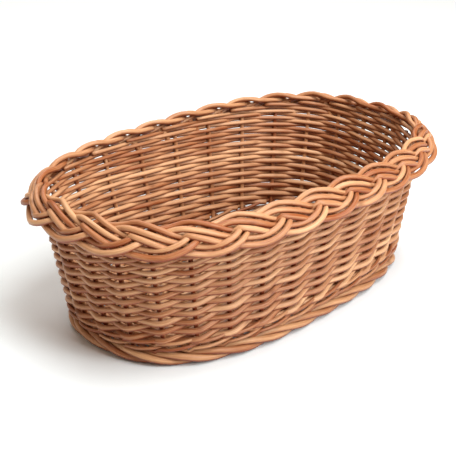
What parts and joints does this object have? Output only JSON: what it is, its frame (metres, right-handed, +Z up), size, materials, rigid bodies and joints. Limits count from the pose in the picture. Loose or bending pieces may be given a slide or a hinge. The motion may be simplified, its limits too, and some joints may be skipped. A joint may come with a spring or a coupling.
{
  "type": "woven willow fruit basket",
  "caption": "Oval flared fruit basket of buff willow: upright stakes, woven side, three-strand plaited border, twisted foot rope and stick-and-strand base.",
  "frame": {"origin": "middle of the footprint, on the surface that the foot rope stands on", "axes": "+X along the basket's length, +Y across it, +Z up out of the open top"},
  "size_m": [0.3968, 0.247, 0.1259],
  "materials": {
    "stake": "bare buff willow rod, satin bark-free skin",
    "weaver": "bare buff willow rod, satin bark-free skin",
    "wale_rod": "bare buff willow rod, satin bark-free skin",
    "foot_rod": "bare thick buff willow rod, satin bark-free skin",
    "border_rod": "bare thick buff willow rod, satin bark-free skin",
    "base_stick": "shaved willow stick, matt",
    "base_weave": "bare buff willow rod, satin bark-free skin"
  },
  "bodies": {
    "root": {"base_cross_stick_1": "base_stick", "base_cross_stick_2": "base_stick", "base_cross_stick_3": "base_stick", "base_cross_stick_4": "base_stick", "base_cross_stick_5": "base_stick", "base_cross_stick_6": "base_stick", "base_cross_stick_7": "base_stick", "base_long_stick_1": "base_stick", "base_long_stick_2": "base_stick", "base_long_stick_3": "base_stick", "base_weave": "base_weave", "foot_rope_rod_1": "foot_rod", "foot_rope_rod_2": "foot_rod", "foot_rope_rod_3": "foot_rod", "plait_strand_1": "border_rod", "plait_strand_2": "border_rod", "plait_strand_3": "border_rod", "side_weave": "weaver", "stake_01": "stake", "stake_02": "stake", "stake_03": "stake", "stake_04": "stake", "stake_05": "stake", "stake_06": "stake", "stake_07": "stake", "stake_08": "stake", "stake_09": "stake", "stake_10": "stake", "stake_11": "stake", "stake_12": "stake", "stake_13": "stake", "stake_14": "stake", "stake_15": "stake", "stake_16": "stake", "stake_17": "stake", "stake_18": "stake", "stake_19": "stake", "stake_20": "stake", "stake_21": "stake", "stake_22": "stake", "stake_23": "stake", "stake_24": "stake", "stake_25": "stake", "stake_26": "stake", "stake_27": "stake", "stake_28": "stake", "upsett_wale": "wale_rod"}
  },
  "joints": []
}
